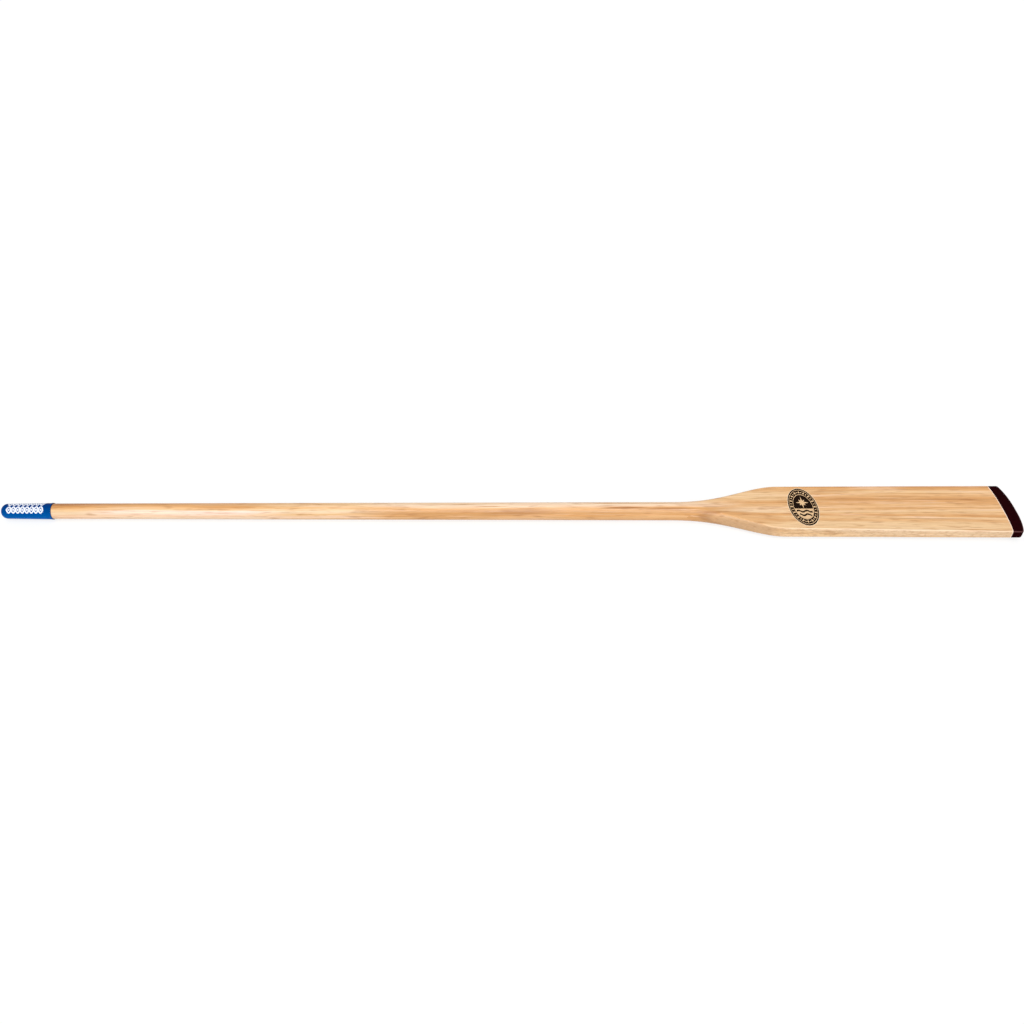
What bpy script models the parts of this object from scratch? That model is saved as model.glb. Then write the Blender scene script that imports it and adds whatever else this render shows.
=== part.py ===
"""Wooden rowing oar: round loom, laminated flat blade, moulded tip guard, grip sleeve and label.

Metres, +Z up. X runs along the oar from the grip (-X) to the blade's tip (+X), Y runs across the
blade, and Z is the normal of its flat faces. The origin is the middle of the oar's box, at its bottom.
A station is a distance along the oar from the outer end of the grip.
"""
import bpy
import bmesh
import numpy as np
from math import radians

# Overall length and the clearance between pieces that touch
OAR_LENGTH = 2.134
FIT_GAP = 0.0003

# Round loom, from the grip's mouth to the throat, turned from a board a little wider than it
LOOM_GRIP_DIAMETER = 0.0326
LOOM_THROAT_DIAMETER = 0.0382
LOOM_BOARD_SPARE = 0.0009

# Grip sleeve, moulded with a closed domed end and a small bead at its mouth
GRIP_LENGTH = 0.110
GRIP_STANDS_PROUD = 0.0009
GRIP_TAPER = 0.0013
GRIP_WALL = 0.0016
GRIP_DOME_DEPTH = 0.014
GRIP_DOME_FULLNESS = 2.15
GRIP_BEAD_LENGTH = 0.004
GRIP_BEAD_HEIGHT = 0.0004

# Throat, where the round loom flattens and widens into the blade
THROAT_LENGTH = 0.242
FLARE_DELAY = 1.4

# Blade, with flat faces that thin towards the tip and straight sides that spread
BLADE_LENGTH = 0.490
BLADE_SHOULDER_WIDTH = 0.1326
BLADE_TIP_WIDTH = 0.146
BLADE_SHOULDER_THICKNESS = 0.0256
BLADE_TIP_THICKNESS = 0.0178
BLADE_EDGE_RADIUS = 0.003

# Tip guard, moulded over a tongue on the blade's end
GUARD_LENGTH = 0.0282
GUARD_INNER_BOW = 0.0046
GUARD_OUTER_BOW = 0.0103
BOW_FULLNESS = 2.6
GUARD_TIP_WALL = 0.0132
GUARD_CHEEK = 0.0049
GUARD_SIDE_WALL = 0.009
GUARD_CORNER_RADIUS = 0.008
GUARD_NOSE_DEPTH = 0.006
GUARD_EDGE_RADIUS = 0.0042
TONGUE_EDGE_RADIUS = 0.001

# Oval label on the upper face, near the shoulder
LABEL_FROM_SHOULDER = 0.0135
LABEL_SIDE_MARGIN = 0.009
LABEL_WIDTH = 0.061
LABEL_THICKNESS = 0.0004

# Fineness of the mesh
CORNER_POINTS = 5
FLAT_POINTS = 9
LOOM_RINGS = 9
THROAT_RINGS = 17
BLADE_RINGS = 6
DOME_RINGS = 6
BEAD_RINGS = 6
GUARD_RINGS = 3
NOSE_RINGS = 6
LABEL_POINTS = 56
SHARP_ANGLE = 35
SMALLEST_RADIUS = 1e-9
SAW_TOLERANCE = 1e-7

# Stations and sizes that follow from the ones above
THROAT_START = OAR_LENGTH - BLADE_LENGTH - THROAT_LENGTH
THROAT_END = OAR_LENGTH - BLADE_LENGTH
GUARD_STATION = OAR_LENGTH - GUARD_LENGTH
BOARD_HALF_WIDTH = LOOM_THROAT_DIAMETER / 2 + LOOM_BOARD_SPARE
GRIP_MOUTH_RADIUS = LOOM_GRIP_DIAMETER / 2 + GRIP_STANDS_PROUD
GRIP_END_RADIUS = GRIP_MOUTH_RADIUS - GRIP_TAPER
TONGUE_LENGTH = GUARD_LENGTH - GUARD_TIP_WALL
TONGUE_HALF_THICKNESS = BLADE_TIP_THICKNESS / 2 - GUARD_CHEEK

# The loom is thickest where the throat starts, and the oar lies on that
AXIS_HEIGHT = LOOM_THROAT_DIAMETER / 2


def smoothstep(u):
    """Rise from 0 to 1 with a level start and end: 3u^2 - 2u^3."""
    u = np.clip(u, 0.0, 1.0)
    return u * u * (3 - 2 * u)


def between(station, start, end, value_start, value_end):
    """Straight-line value between two stations, going on at the same slope past the second."""
    share = np.maximum((station - start) / (end - start), 0.0)
    return value_start + (value_end - value_start) * share


def loom_radius(station):
    """Radius of the round loom, level past the start of the throat."""
    capped = np.minimum(station, THROAT_START)
    return between(capped, GRIP_LENGTH, THROAT_START, LOOM_GRIP_DIAMETER, LOOM_THROAT_DIAMETER) / 2


def blade_half_width(station):
    """Half the blade's width along its straight sides."""
    return between(station, THROAT_END, OAR_LENGTH, BLADE_SHOULDER_WIDTH, BLADE_TIP_WIDTH) / 2


def blade_half_thickness(station):
    """Half the blade's thickness between its flat faces."""
    return between(station, THROAT_END, OAR_LENGTH, BLADE_SHOULDER_THICKNESS, BLADE_TIP_THICKNESS) / 2


def wood_section(station):
    """Half width, half thickness, corner radius and squareness of the oar's section at a station."""
    share = np.clip((station - THROAT_START) / THROAT_LENGTH, 0.0, 1.0)
    flare = smoothstep(share ** FLARE_DELAY)
    square = smoothstep(share)
    radius = loom_radius(station)
    half_width = radius + (blade_half_width(station) - radius) * flare
    half_thickness = radius + (blade_half_thickness(station) - radius) * square
    corner = radius + (BLADE_EDGE_RADIUS - radius) * square
    corner = np.minimum(corner, np.minimum(half_width, half_thickness))
    return half_width, half_thickness, corner, square


def ring_pattern():
    """Angles and side shares of one ring's points, as evenly round and as a box with round corners.

    The points start on the +Y side and go over the top. A corner point turns through its own quarter,
    and a flat point keeps the face's angle and takes its place from its share of the flat's width.
    """
    quarter = np.linspace(0.0, 90.0, CORNER_POINTS)
    flat = np.linspace(1.0, -1.0, FLAT_POINTS + 2)[1:-1]
    ones = np.ones(CORNER_POINTS)
    box_angle = np.concatenate([
        quarter, np.full(FLAT_POINTS, 90.0), quarter + 90.0,
        quarter + 180.0, np.full(FLAT_POINTS, 270.0), quarter + 270.0])
    across = np.concatenate([ones, flat, -ones, -ones, -flat, ones])
    up = np.repeat([1.0, -1.0], 2 * CORNER_POINTS + FLAT_POINTS)
    count = len(box_angle)
    round_angle = 360.0 * (np.arange(count) + 0.5) / count
    return np.radians(round_angle), np.radians(box_angle), across, up


ROUND_ANGLE, BOX_ANGLE, ACROSS, UP = ring_pattern()


def section_points(half_width, half_thickness, corner, square):
    """Y and Z of a ring: a box of the half sizes less the corner radius, plus a round of that radius."""
    angle = ROUND_ANGLE + (BOX_ANGLE - ROUND_ANGLE) * square
    y = ACROSS * (half_width - corner) + corner * np.cos(angle)
    z = UP * (half_thickness - corner) + corner * np.sin(angle)
    return y, z


def world(station, y, z):
    """Points given by station and by place about the oar's axis, moved to the part's frame."""
    station, y, z = np.broadcast_arrays(station, y, z)
    return np.column_stack([station - OAR_LENGTH / 2, y, z + AXIS_HEIGHT])


def ring(station, bow=0.0, reshape=None):
    """One ring of the wooden form. Its station falls back by the bow at the blade's sides.

    reshape changes the section's half width, half thickness and corner radius where a tongue, a slot
    or a rounded nose leaves the form.
    """
    section = wood_section(np.full(len(ACROSS), station))
    edge = section[0]
    if reshape:
        section = reshape(*section)
    y, _ = section_points(*section)
    bowed = station - bow * np.abs(y / edge) ** BOW_FULLNESS
    section = wood_section(bowed)
    if reshape:
        section = reshape(*section)
    y, z = section_points(*section)
    return world(bowed, y, z)


def round_ring(station, radius):
    """One round ring about the oar's axis, or its middle point where the radius is nothing."""
    if radius < SMALLEST_RADIUS:
        return world(station, 0.0, 0.0)
    y, z = section_points(radius, radius, radius, 0.0)
    return world(station, y, z)


def grip_dome(inset):
    """Stations and radii of the grip's domed end, a full quarter ellipse, moved inwards by the inset."""
    turn = np.linspace(0.0, np.pi / 2, DOME_RINGS + 1)
    fullness = 2 / GRIP_DOME_FULLNESS
    stations = GRIP_DOME_DEPTH - (GRIP_DOME_DEPTH - inset) * np.cos(turn) ** fullness
    radii = (GRIP_END_RADIUS - inset) * np.sin(turn) ** fullness
    return list(zip(stations, radii))


def grip_bead():
    """Stations and radii of the small bead round the grip's mouth."""
    share = np.linspace(0.0, 1.0, BEAD_RINGS + 1)
    stations = GRIP_LENGTH - GRIP_BEAD_LENGTH * (1 - share)
    body = between(stations, GRIP_DOME_DEPTH, GRIP_LENGTH, GRIP_END_RADIUS, GRIP_MOUTH_RADIUS)
    radii = body + GRIP_BEAD_HEIGHT * np.sqrt(np.abs(np.sin(np.pi * share)))
    return list(zip(stations, radii))


def loft(rings):
    """A closed mesh through rings of equal count. A single point closes an end as a pole, and an end
    ring is closed by faces between its top and bottom points."""
    bm = bmesh.new()
    rows = [[bm.verts.new(point) for point in points] for points in rings]
    for row, following in zip(rows, rows[1:]):
        count = max(len(row), len(following))
        for j in range(count):
            k = (j + 1) % count
            if len(row) == 1:
                bm.faces.new([row[0], following[k], following[j]])
            elif len(following) == 1:
                bm.faces.new([row[j], row[k], following[0]])
            else:
                bm.faces.new([row[j], row[k], following[k], following[j]])
    for row in (rows[0], rows[-1]):
        for j in range(len(row) // 2 - 1):
            bm.faces.new([row[j], row[j + 1], row[-j - 2], row[-j - 1]])
    bmesh.ops.recalc_face_normals(bm, faces=bm.faces)
    return bm


def saw(bm, y, keep):
    """Cut a closed mesh along the plane at y, keep its +Y or -Y side and close the sawn face."""
    geometry = bm.verts[:] + bm.edges[:] + bm.faces[:]
    cut = bmesh.ops.bisect_plane(
        bm, geom=geometry, dist=SAW_TOLERANCE, plane_co=(0, y, 0), plane_no=(0, -keep, 0),
        clear_outer=True)
    edges = [item for item in cut["geom_cut"] if isinstance(item, bmesh.types.BMEdge)]
    bmesh.ops.holes_fill(bm, edges=edges, sides=0)
    bmesh.ops.recalc_face_normals(bm, faces=bm.faces)
    return bm


def material(name, colour, roughness):
    """A plain Principled material in linear colour."""
    made = bpy.data.materials.new(name)
    made.use_nodes = True
    shader = made.node_tree.nodes["Principled BSDF"]
    shader.inputs["Base Color"].default_value = (*colour, 1.0)
    shader.inputs["Roughness"].default_value = roughness
    made.diffuse_color = (*colour, 1.0)
    return made


def add_object(name, bm, finish):
    """Turn a mesh into a named object under the oar's empty, smooth but for its sharp edges."""
    mesh = bpy.data.meshes.new(name)
    bm.to_mesh(mesh)
    bm.free()
    mesh.shade_smooth()
    mesh.set_sharp_from_angle(angle=radians(SHARP_ANGLE))
    mesh.materials.append(finish)
    piece = bpy.data.objects.new(name, mesh)
    bpy.context.collection.objects.link(piece)
    piece.parent = bpy.data.objects["oar"]
    return piece


def tongue_shape(clearance):
    """The section of the tongue on the blade's end, made larger all round by a clearance."""
    def reshape(half_width, half_thickness, corner, square):
        inner_width = half_width - GUARD_SIDE_WALL + clearance
        inner_thickness = np.full_like(half_thickness, TONGUE_HALF_THICKNESS + clearance)
        return inner_width, inner_thickness, np.full_like(corner, TONGUE_EDGE_RADIUS), square
    return reshape


def nose_shape(turn):
    """The guard's section where its nose turns in, a quarter ellipse in plan and in side view."""
    def reshape(half_width, half_thickness, corner, square):
        drawn_in = 1 - np.cos(turn)
        narrowed = half_width - GUARD_CORNER_RADIUS * drawn_in
        thinned = half_thickness - GUARD_EDGE_RADIUS * drawn_in
        return narrowed, thinned, np.minimum(corner, thinned), square
    return reshape


def wooden_blank():
    """The whole wooden form before it is sawn: handle, loom, throat, blade and tongue."""
    handle_inset = GRIP_WALL + FIT_GAP
    loom_start = GRIP_LENGTH + FIT_GAP
    handle = grip_dome(handle_inset)
    handle.append((loom_start, GRIP_MOUTH_RADIUS - handle_inset))
    rings = [round_ring(station, radius) for station, radius in handle]
    for station in np.linspace(loom_start, THROAT_START, LOOM_RINGS):
        rings.append(ring(station))
    for station in np.linspace(THROAT_START, THROAT_END, THROAT_RINGS)[1:]:
        rings.append(ring(station))
    for station in np.linspace(THROAT_END, GUARD_STATION, BLADE_RINGS)[1:]:
        share = (station - THROAT_END) / (GUARD_STATION - THROAT_END)
        rings.append(ring(station, GUARD_INNER_BOW * share))
    for station in (GUARD_STATION, GUARD_STATION + TONGUE_LENGTH):
        rings.append(ring(station, GUARD_INNER_BOW, tongue_shape(0.0)))
    return loft(rings)


def make_loom(finish):
    """The middle board, sawn from the blank between its two flat sides."""
    bm = saw(wooden_blank(), BOARD_HALF_WIDTH, -1)
    bm = saw(bm, -BOARD_HALF_WIDTH, 1)
    return add_object("loom", bm, finish)


def make_blade_wing(name, side, finish):
    """A side board of the blade, glued to the loom's flat side."""
    glue_face = side * (BOARD_HALF_WIDTH + FIT_GAP)
    return add_object(name, saw(wooden_blank(), glue_face, side), finish)


def guard_bow(station):
    """Bow of the guard's rings, from its inner end to its outer end."""
    return between(station, GUARD_STATION, OAR_LENGTH, GUARD_INNER_BOW, GUARD_OUTER_BOW)


def make_tip_guard(finish):
    """The guard: its slot over the tongue, its outer form flush with the blade, and its round nose."""
    inner = GUARD_STATION + FIT_GAP
    slot_end = GUARD_STATION + TONGUE_LENGTH + FIT_GAP
    nose = OAR_LENGTH - GUARD_NOSE_DEPTH
    slot = tongue_shape(FIT_GAP)
    rings = [ring(station, GUARD_INNER_BOW, slot) for station in (slot_end, inner)]
    for station in np.linspace(inner, nose, GUARD_RINGS):
        rings.append(ring(station, guard_bow(station)))
    for turn in np.linspace(0.0, np.pi / 2, NOSE_RINGS + 1)[1:]:
        station = nose + GUARD_NOSE_DEPTH * np.sin(turn)
        rings.append(ring(station, guard_bow(station), nose_shape(turn)))
    return add_object("tip_guard", loft(rings), finish)


def make_grip_sleeve(finish):
    """The sleeve: outer form from its pole to its mouth, then back inside along the bore."""
    bore = grip_dome(GRIP_WALL)
    bore.append((GRIP_LENGTH, GRIP_MOUTH_RADIUS - GRIP_WALL))
    profile = grip_dome(0.0) + grip_bead() + bore[::-1]
    rings = [round_ring(station, radius) for station, radius in profile]
    return add_object("grip_sleeve", loft(rings), finish)


def make_oval_label(finish):
    """A thin oval film that follows the blade's upper face, its long axis across the blade."""
    centre = THROAT_END + LABEL_FROM_SHOULDER + LABEL_WIDTH / 2
    half_length = blade_half_width(centre) - LABEL_SIDE_MARGIN
    turn = np.linspace(0.0, 2 * np.pi, LABEL_POINTS, endpoint=False)
    station = centre + LABEL_WIDTH / 2 * np.cos(turn)
    y = half_length * np.sin(turn)
    face = blade_half_thickness(station) + FIT_GAP
    bm = bmesh.new()
    low = [bm.verts.new(point) for point in world(station, y, face)]
    high = [bm.verts.new(point) for point in world(station, y, face + LABEL_THICKNESS)]
    bm.faces.new(low)
    bm.faces.new(high)
    for j in range(LABEL_POINTS):
        k = (j + 1) % LABEL_POINTS
        bm.faces.new([low[j], low[k], high[k], high[j]])
    bmesh.ops.recalc_face_normals(bm, faces=bm.faces)
    return add_object("oval_label", bm, finish)


def main():
    """Clear the scene, then make every piece of the oar."""
    for old in list(bpy.data.objects):
        bpy.data.objects.remove(old, do_unlink=True)
    oar = bpy.data.objects.new("oar", None)
    bpy.context.collection.objects.link(oar)

    loom_wood = material("loom_wood", (0.80, 0.52, 0.27), 0.38)
    wing_wood = material("wing_wood", (0.82, 0.56, 0.31), 0.38)
    guard_resin = material("guard_resin", (0.022, 0.008, 0.008), 0.35)
    grip_vinyl = material("grip_vinyl", (0.002, 0.085, 0.40), 0.42)
    label_film = material("label_film", (0.035, 0.022, 0.014), 0.45)

    make_loom(loom_wood)
    make_blade_wing("blade_wing_left", 1, wing_wood)
    make_blade_wing("blade_wing_right", -1, wing_wood)
    make_tip_guard(guard_resin)
    make_grip_sleeve(grip_vinyl)
    make_oval_label(label_film)


main()
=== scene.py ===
# %% [markdown]
# # Dressing a wooden rowing oar
#
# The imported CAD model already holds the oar's six pieces at their real sizes. This lesson rebuilds the
# surfaces that show, much finer than the CAD facets, and gives each one its real finish: varnished
# pine, a moulded tip guard, a moulded vinyl grip with a printed band, and a printed oval label.
# Every size is read from the frame or named once, so the new surfaces lie where the solids are.

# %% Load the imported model
import bmesh
import bpy
import numpy as np
from mathutils import Matrix, Vector


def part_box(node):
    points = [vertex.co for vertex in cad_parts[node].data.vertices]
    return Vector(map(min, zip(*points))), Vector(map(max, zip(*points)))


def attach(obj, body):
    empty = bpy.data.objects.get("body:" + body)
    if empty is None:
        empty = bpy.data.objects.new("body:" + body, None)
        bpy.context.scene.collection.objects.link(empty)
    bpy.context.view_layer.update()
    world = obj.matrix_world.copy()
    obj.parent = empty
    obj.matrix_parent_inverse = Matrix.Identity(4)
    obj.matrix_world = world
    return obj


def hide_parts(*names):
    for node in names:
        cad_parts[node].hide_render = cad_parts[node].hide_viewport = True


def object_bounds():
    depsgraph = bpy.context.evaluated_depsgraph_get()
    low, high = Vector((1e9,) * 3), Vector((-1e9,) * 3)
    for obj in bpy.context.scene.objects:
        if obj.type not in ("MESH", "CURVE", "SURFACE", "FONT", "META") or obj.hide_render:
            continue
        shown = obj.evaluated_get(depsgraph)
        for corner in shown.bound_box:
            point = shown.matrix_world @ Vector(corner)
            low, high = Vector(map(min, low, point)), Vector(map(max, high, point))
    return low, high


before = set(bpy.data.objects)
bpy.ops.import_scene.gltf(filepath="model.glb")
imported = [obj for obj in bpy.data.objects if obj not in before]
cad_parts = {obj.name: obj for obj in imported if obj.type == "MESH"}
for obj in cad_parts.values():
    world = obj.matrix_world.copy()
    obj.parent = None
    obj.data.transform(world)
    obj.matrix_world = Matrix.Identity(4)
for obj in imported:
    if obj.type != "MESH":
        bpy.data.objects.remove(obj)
cad_low, cad_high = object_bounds()
print("CAD box in mm:", [round(1000 * side, 1) for side in cad_high - cad_low])

# %% [markdown]
# ## Sizes
#
# A boatbuilder measures an oar by stations: distances along it from the end of the grip. The frame
# gives the length, the height of the axis, the middle board's width and greatest thickness, the
# length of the grip, and the label's place and size. The rest are the driving sizes of the shape,
# in millimetres.

# %% Sizes read from the frame
MM = 0.001
loom_low, loom_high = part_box("loom")
grip_low, grip_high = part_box("grip_sleeve")
label_low, label_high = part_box("oval_label")

OAR_LENGTH = cad_high.x - cad_low.x
AXIS_HEIGHT = (loom_low.z + loom_high.z) / 2
THROAT_RADIUS = (loom_high.z - loom_low.z) / 2
SAW_PLANE = loom_high.y
GRIP_LENGTH = grip_high.x - grip_low.x
LABEL_WIDTH = label_high.x - label_low.x
LABEL_LENGTH = label_high.y - label_low.y
LABEL_STATION = (label_low.x + label_high.x) / 2 - cad_low.x
print("Length", round(OAR_LENGTH, 4), "axis height", round(AXIS_HEIGHT, 4), "grip", round(GRIP_LENGTH, 4))

# %% Driving sizes of the shape
FIT_GAP = 0.3 * MM
GLUE_GAP = 0.03 * MM

LOOM_GRIP_RADIUS = 16.3 * MM
GRIP_MOUTH_RADIUS = 17.2 * MM
GRIP_END_RADIUS = 15.9 * MM
GRIP_WALL = 1.6 * MM
GRIP_DOME_DEPTH = 14 * MM
GRIP_DOME_FULLNESS = 2.15
GRIP_BEAD_LENGTH = 4 * MM
GRIP_BEAD_HEIGHT = 0.4 * MM

BLADE_LENGTH = 490 * MM
THROAT_LENGTH = 242 * MM
FLARE_DELAY = 1.4
BLADE_SHOULDER_WIDTH = 132.6 * MM
BLADE_TIP_WIDTH = 146 * MM
BLADE_SHOULDER_THICKNESS = 25.6 * MM
BLADE_TIP_THICKNESS = 17.8 * MM
BLADE_EDGE_RADIUS = 3 * MM

GUARD_LENGTH = 28.2 * MM
GUARD_INNER_BOW = 4.6 * MM
GUARD_OUTER_BOW = 10.3 * MM
BOW_FULLNESS = 2.6
TONGUE_LENGTH = 15 * MM
TONGUE_HALF_THICKNESS = 4 * MM
TONGUE_EDGE_RADIUS = 1 * MM
GUARD_SIDE_WALL = 9 * MM
GUARD_CORNER_RADIUS = 8 * MM
GUARD_NOSE_DEPTH = 6 * MM
GUARD_EDGE_RADIUS = 4.2 * MM

THROAT_END = OAR_LENGTH - BLADE_LENGTH
THROAT_START = THROAT_END - THROAT_LENGTH
GUARD_STATION = OAR_LENGTH - GUARD_LENGTH
print("Throat from", round(THROAT_START, 3), "to", round(THROAT_END, 3))
print("Guard at", round(GUARD_STATION, 4))

# %% [markdown]
# ## The form of the oar
#
# Round loom, throat and flat blade are one flowing surface on the real oar, so they are one formula
# here. Every cross-section is a box with rounded corners. On the loom the corner radius is the whole
# half width, which makes the box a circle. Along the throat the box widens, thins and sharpens its
# corners with an S-curve. A box and a circle could be lofted by hand instead, but then the sawn
# joints between the boards would have to be cut, and here they come from the same formula.

# %% Section of the oar at any station
def smoothstep(share):
    """Rise from 0 to 1 with a level start and end: three times the square less twice the cube."""
    share = np.clip(share, 0.0, 1.0)
    return share * share * (3 - 2 * share)


def sloping(station, start, end, at_start, at_end):
    """Straight-line value between two stations, level before the first and going on past the second."""
    share = np.maximum((station - start) / (end - start), 0.0)
    return at_start + (at_end - at_start) * share


def wood_section(station):
    """Half width, half thickness, corner radius and squareness of the section at a station.

    Each is the loom's radius plus an S-curve share of the way to the blade's own value.
    """
    share = np.clip((station - THROAT_START) / THROAT_LENGTH, 0.0, 1.0)
    flare = smoothstep(share ** FLARE_DELAY)
    square = smoothstep(share)
    loom_station = np.minimum(station, THROAT_START)
    radius = sloping(loom_station, GRIP_LENGTH, THROAT_START, LOOM_GRIP_RADIUS, THROAT_RADIUS)
    width = sloping(station, THROAT_END, OAR_LENGTH, BLADE_SHOULDER_WIDTH, BLADE_TIP_WIDTH)
    thickness = sloping(station, THROAT_END, OAR_LENGTH, BLADE_SHOULDER_THICKNESS, BLADE_TIP_THICKNESS)
    half_width = radius + (width / 2 - radius) * flare
    half_thickness = radius + (thickness / 2 - radius) * square
    corner = radius + (BLADE_EDGE_RADIUS - radius) * square
    corner = np.minimum(corner, np.minimum(half_width, half_thickness))
    return half_width, half_thickness, corner, square


print("Blade half width at the shoulder:", wood_section(np.array([THROAT_END]))[0])

# %% [markdown]
# A section is walked like a path: up half the side, round the corner, then in along the flat face.
# The distance walked gives the point, so points can be packed close at a corner and wide on a flat.
# The saw that parted the boards stands at a fixed distance from the axis, and the walk tells where
# the path crosses it. The two side boards keep the part before the saw, the middle board the rest.

# %% Walking round a section
def walk(half_width, half_thickness, corner, distance):
    """Y and Z after a distance: up the side, round the corner's quarter turn, in along the face."""
    side = half_thickness - corner
    turn = np.clip((distance - side) / corner, 0.0, np.pi / 2)
    along_face = np.maximum(distance - side - corner * np.pi / 2, 0.0)
    y = half_width - corner + corner * np.cos(turn) - along_face
    z = np.minimum(distance, side) + corner * np.sin(turn)
    return y, z


def corner_turn(half_width, corner, saw):
    """Angle turned round the corner by the time the walk meets the saw, a right angle at most."""
    return np.arccos(np.clip((saw - half_width + corner) / corner, 0.0, 1.0))


def distance_to_saw(half_width, half_thickness, corner, saw):
    """Distance walked when Y has come in to the saw's plane."""
    along_face = np.maximum(half_width - corner - saw, 0.0)
    return half_thickness - corner + corner * corner_turn(half_width, corner, saw) + along_face


SIDE_POINTS = 6
CORNER_POINTS = 9
FACE_POINTS = 16
MIDDLE_POINTS = 24

side_shares = (np.arange(SIDE_POINTS) + 0.5) / SIDE_POINTS
corner_shares = np.linspace(0.0, 1.0, CORNER_POINTS)
face_shares = np.linspace(0.0, 1.0, FACE_POINTS + 1)[1:]
UP_SIDE = np.concatenate([side_shares, np.ones(CORNER_POINTS + FACE_POINTS)])
ROUND_CORNER = np.concatenate([np.zeros(SIDE_POINTS), corner_shares, np.ones(FACE_POINTS)])
IN_FACE = np.concatenate([np.zeros(SIDE_POINTS + CORNER_POINTS), face_shares])
EVENLY = np.linspace(0.0, 1.0, MIDDLE_POINTS)
FIRST_STEP = 0.5 / MIDDLE_POINTS
ROUND_KEEP = 0.6


def side_to_saw(saw):
    """Quarter outline from the side's middle to the saw: side, corner and face each by their shares."""
    def quarter(half_width, half_thickness, corner, square):
        side = half_thickness - corner
        turn = corner_turn(half_width, corner, saw)
        turned = corner * turn * (ROUND_KEEP + (1 - ROUND_KEEP) * square)
        rest = distance_to_saw(half_width, half_thickness, corner, saw) - side - turned
        distance = side * UP_SIDE + turned * ROUND_CORNER + rest * IN_FACE
        return walk(half_width, half_thickness, corner, distance)
    return quarter


def saw_to_middle(saw):
    """Quarter outline from the saw to the middle of the face, in even steps of distance."""
    def quarter(half_width, half_thickness, corner, square):
        whole = half_width + half_thickness + corner * (np.pi / 2 - 2)
        sawn = distance_to_saw(half_width, half_thickness, corner, saw)
        sawn = np.where(half_width > saw, sawn, 0.0)
        start = np.maximum(sawn, whole * FIRST_STEP)
        return walk(half_width, half_thickness, corner, start + (whole - start) * EVENLY)
    return quarter


print("Points in a quarter outline:", len(UP_SIDE), "to the saw,", MIDDLE_POINTS, "past it")

# %% [markdown]
# The blade's end isn't square: both its edge and the guard's joint bow outwards in the middle. So
# each row of points falls back by an amount that grows with a power of the distance across, and
# the section is worked out again at the station where the point has landed.

# %% Rows of points on the oar
def unchanged(*sizes):
    """A section left as the oar's own form."""
    return sizes


def tongue(clearance):
    """The section of the tongue inside the guard, larger all round by a clearance."""
    def reshape(half_width, half_thickness, corner, square):
        inner_width = half_width - GUARD_SIDE_WALL + clearance
        inner_thickness = 0 * half_thickness + TONGUE_HALF_THICKNESS + clearance
        return inner_width, inner_thickness, 0 * corner + TONGUE_EDGE_RADIUS, square
    return reshape


def quarter_rows(stations, bow, quarter, reshape=unchanged):
    """Stations, Y and Z of the rows: a point falls back by the bow times a power of its share across."""
    station = stations[:, None]
    edge = wood_section(station)[0]
    y = quarter(*reshape(*wood_section(station)))[0]
    across = np.abs(y / edge) ** BOW_FULLNESS
    bowed = station - np.broadcast_to(bow, stations.shape)[:, None] * across
    y, z = quarter(*reshape(*wood_section(bowed)))
    return np.stack([bowed - OAR_LENGTH / 2, y, z], axis=-1)


def blade_bow(stations):
    """Bow of the wood's rows: none up to the shoulder, then growing evenly to the guard's joint."""
    share = (stations - THROAT_END) / (GUARD_STATION - THROAT_END)
    return GUARD_INNER_BOW * np.clip(share, 0.0, 1.0)


def close_ring(top):
    """A ring from its upper half: the same points in reverse below the axis, then up to its height."""
    ring = np.concatenate([top, top[:, ::-1] * (1, 1, -1)], axis=1)
    return ring + (0, 0, AXIS_HEIGHT)


def both_sides(quarter):
    """The upper half of a ring from its +Y quarter, mirrored over the middle to -Y."""
    return np.concatenate([quarter, quarter[:, -2::-1] * (1, -1, 1)], axis=1)


def round_rows(stations, radii, points):
    """Rows of circles about the axis, as the upper halves of rings of an even count of points."""
    angle = np.pi * (np.arange(points) + 0.5) / points
    station, angle = np.broadcast_arrays(stations[:, None], angle[None, :])
    radius = radii[:, None]
    return np.stack([station - OAR_LENGTH / 2, radius * np.cos(angle), radius * np.sin(angle)], axis=-1)


def axis_point(station):
    """The point on the oar's axis at a station."""
    return np.array([station - OAR_LENGTH / 2, 0.0, AXIS_HEIGHT])


# %% [markdown]
# ## From rows of points to a closed skin
#
# Neighbouring rows are joined by four-sided faces. An end closes to a point on the axis, or flat by
# strips across the ring. A skin made this way can come out inside out, so its faces are turned
# outwards once, and edges sharper than a limit stay crisp, as sawn and moulded edges do.

# %% Skins and pieces
SHARP_ANGLE = np.radians(35)


def skin(rows, start_pole=None, end_pole=None, looped=False):
    """Points and face arrays of a closed skin: point j of row i joins point j + 1, both of row i + 1.

    A looped skin's last row joins its first, and it has no ends.
    """
    stations, count = rows.shape[:2]
    index = np.arange(stations * count).reshape(stations, count)
    after = np.roll(index, -1, axis=1)
    quads = np.stack([index, after, np.roll(after, -1, axis=0), np.roll(index, -1, axis=0)], axis=-1)
    points = rows.reshape(-1, 3)
    if looped:
        return points, [quads.reshape(-1, 4)]
    faces = [quads[:-1].reshape(-1, 4)]
    for ring, pole in ((index[0], start_pole), (index[-1], end_pole)):
        if pole is None:
            upper, lower = ring[:count // 2], ring[count // 2:][::-1]
            faces.append(np.stack([upper[:-1], upper[1:], lower[1:], lower[:-1]], axis=-1))
        else:
            points = np.vstack([points, pole])
            faces.append(np.stack([ring, np.roll(ring, -1), np.full(count, len(points) - 1)], axis=-1))
    return points, faces


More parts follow.
